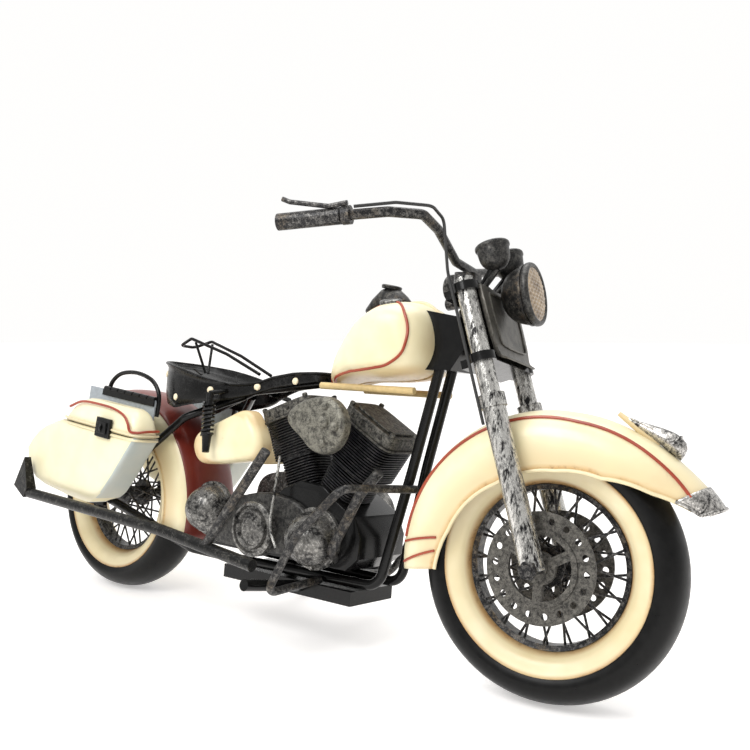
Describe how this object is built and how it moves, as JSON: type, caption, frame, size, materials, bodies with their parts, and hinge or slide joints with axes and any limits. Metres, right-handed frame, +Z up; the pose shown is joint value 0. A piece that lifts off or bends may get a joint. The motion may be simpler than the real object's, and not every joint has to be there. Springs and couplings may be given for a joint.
{
  "type": "model motorcycle",
  "caption": "Hand-made tin model of a cruiser motorcycle with V-twin engine, wire wheels, deep fenders and saddlebags, leaning on its side stand.",
  "frame": {"origin": "middle of the whole object's box at the ground, standing on its wheels and side stand", "axes": "+X forwards, +Y to the rider's left, +Z up; the object leans to +Y"},
  "size_m": [0.3528, 0.1554, 0.1861],
  "materials": {
    "black": "gloss black enamel",
    "cream": "aged cream enamel",
    "dark_metal": "black with silver dry brushing",
    "engine": "gunmetal",
    "glass": "mirror",
    "hose": "thin black cable",
    "latch": "black enamel",
    "leather": "black tin painted as leather",
    "lens": "aged textured lens",
    "red": "dark red enamel",
    "silver": "worn silver over black",
    "stud": "cream studs",
    "tyre": "satin black rubber"
  },
  "bodies": {
    "frame": {"rear_fender": "cream", "steering_neck": "black", "frame_tubes": "black", "rear_axle": "dark_metal", "skid_plate": "black", "crash_bars": "dark_metal", "engine_case": "black", "engine_covers": "engine", "cylinders": "engine", "rocker_covers": "engine", "air_cleaner": "engine", "exhaust_pipe": "dark_metal", "headers": "dark_metal", "fuel_tank": "cream", "tank_console": "black", "tank_rods": "cream", "side_tanks": "cream", "saddle": "leather", "saddle_studs": "stud", "saddle_springs": "black", "saddle_rail": "black", "right_bag": "cream", "bag_metalwork": "black", "left_bag": "cream", "stand_bracket": "black"},
    "steering": {"fork_sliders": "silver", "fork_tubes": "dark_metal", "front_axle": "dark_metal", "fork_yokes": "black", "fork_shroud": "engine", "headlight_bucket": "engine", "headlight_rim": "silver", "headlight_lens": "lens", "lamp_brackets": "black", "gauge_housings": "engine", "gauge_faces": "black", "handlebar": "dark_metal", "grips": "dark_metal", "hand_levers": "dark_metal", "mirror": "dark_metal", "mirror_glass": "glass", "brake_hose": "hose", "front_fender": "cream", "front_fender_trim": "red", "fender_brightwork": "silver"},
    "front_wheel": {"front_tyre": "tyre", "front_whitewalls": "cream", "front_wire_wheel": "dark_metal", "front_hub": "dark_metal", "brake_discs": "silver"},
    "rear_wheel": {"rear_tyre": "tyre", "rear_whitewalls": "cream", "rear_wire_wheel": "dark_metal", "rear_hub": "dark_metal"},
    "right_lid": {"right_lid": "cream", "right_latch": "latch"},
    "left_lid": {"left_lid": "cream", "left_latch": "latch"},
    "side_stand": {"side_stand": "dark_metal"}
  },
  "joints": [
    {"name": "steering_turn", "type": "hinge", "parent": "frame", "child": "steering", "pos_m": [0.09821, -0.0028, 0.10434], "axis": [-0.3305, 0.1167, 0.9366], "range_deg": [-34, 18]},
    {"name": "front_wheel_spin", "type": "hinge", "parent": "steering", "child": "front_wheel", "pos_m": [0.12253, -0.00894, 0.04962], "axis": [-0.1314, 0.977, -0.168], "continuous": true},
    {"name": "rear_wheel_spin", "type": "hinge", "parent": "frame", "child": "rear_wheel", "pos_m": [-0.12643, -0.0096, 0.04972], "axis": [0, 0.9923, -0.1236], "continuous": true},
    {"name": "right_lid_hinge", "type": "hinge", "parent": "frame", "child": "right_lid", "pos_m": [-0.1, -0.03081, 0.10637], "axis": [-0.9945, 0.0129, 0.1037], "range_deg": [0, 75]},
    {"name": "left_lid_hinge", "type": "hinge", "parent": "frame", "child": "left_lid", "pos_m": [-0.1, 0.02486, 0.09944], "axis": [0.9945, -0.0129, -0.1037], "range_deg": [0, 75]},
    {"name": "stand_fold", "type": "hinge", "parent": "frame", "child": "side_stand", "pos_m": [-0.02343, 0.00864, 0.02628], "axis": [0.1867, 0.7336, 0.6534], "range_deg": [0, 62.2]}
  ]
}
